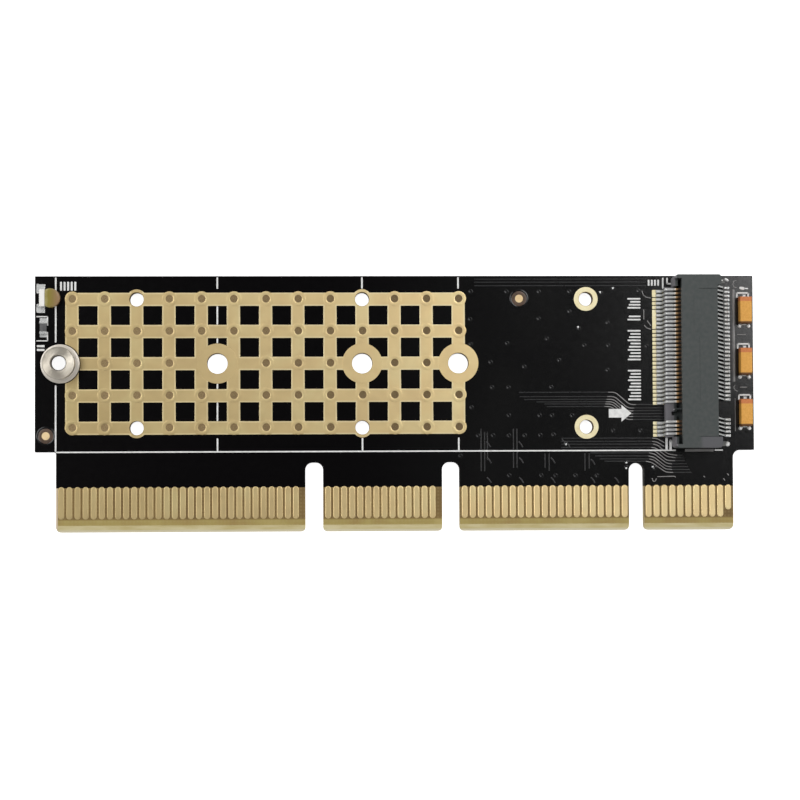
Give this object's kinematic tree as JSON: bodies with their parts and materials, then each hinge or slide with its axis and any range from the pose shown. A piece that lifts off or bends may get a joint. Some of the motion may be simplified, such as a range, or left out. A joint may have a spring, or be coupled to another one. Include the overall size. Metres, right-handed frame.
{
  "type": "drive adapter card",
  "caption": "Flat adapter card that holds an M.2 drive in a socket over a gold thermal lattice and plugs into a card-edge slot.",
  "frame": {"origin": "middle of the card's footprint, on the plane its back lies on", "axes": "+X along the card towards the drive socket, +Y from the card edge to the far edge, +Z out of the component side"},
  "size_m": [0.0896, 0.0318, 0.0058],
  "materials": {
    "board": "satin black solder mask over glass-epoxy",
    "gold": "immersion gold, soft sheen",
    "nickel": "turned and plated",
    "housing": "moulded liquid-crystal polymer",
    "contacts": "tinned and gold-flashed strip",
    "solder": "bright solder",
    "white_plastic": "white moulding",
    "lens": "clear tinted epoxy",
    "ceramic": "dark overcoat",
    "tantalum": "ochre moulding compound"
  },
  "bodies": {
    "root": {"alignment_marks": "gold", "back_fingers_inner": "gold", "back_fingers_key": "gold", "back_fingers_middle": "gold", "back_fingers_outer": "gold", "capacitor_lower_body": "tantalum", "capacitor_lower_terminals": "solder", "capacitor_middle_body": "tantalum", "capacitor_middle_terminals": "solder", "capacitor_upper_body": "tantalum", "capacitor_upper_terminals": "solder", "circuit_board": "board", "component_lands": "solder", "drive_standoff": "nickel", "front_fingers_inner": "gold", "front_fingers_key": "gold", "front_fingers_middle": "gold", "front_fingers_outer": "gold", "heatsink_rings": "gold", "led_base": "white_plastic", "led_lens": "lens", "led_terminals": "solder", "resistor_body": "ceramic", "resistor_end_caps": "solder", "screw_place_forty_two": "gold", "screw_place_sixty": "gold", "screw_place_thirty": "gold", "socket_back_contacts_long": "contacts", "socket_back_contacts_short": "contacts", "socket_back_lands": "solder", "socket_front_contacts_long": "contacts", "socket_front_contacts_short": "contacts", "socket_front_lands": "solder", "socket_hold_downs": "contacts", "socket_housing": "housing", "thermal_lattice": "gold"}
  },
  "joints": []
}
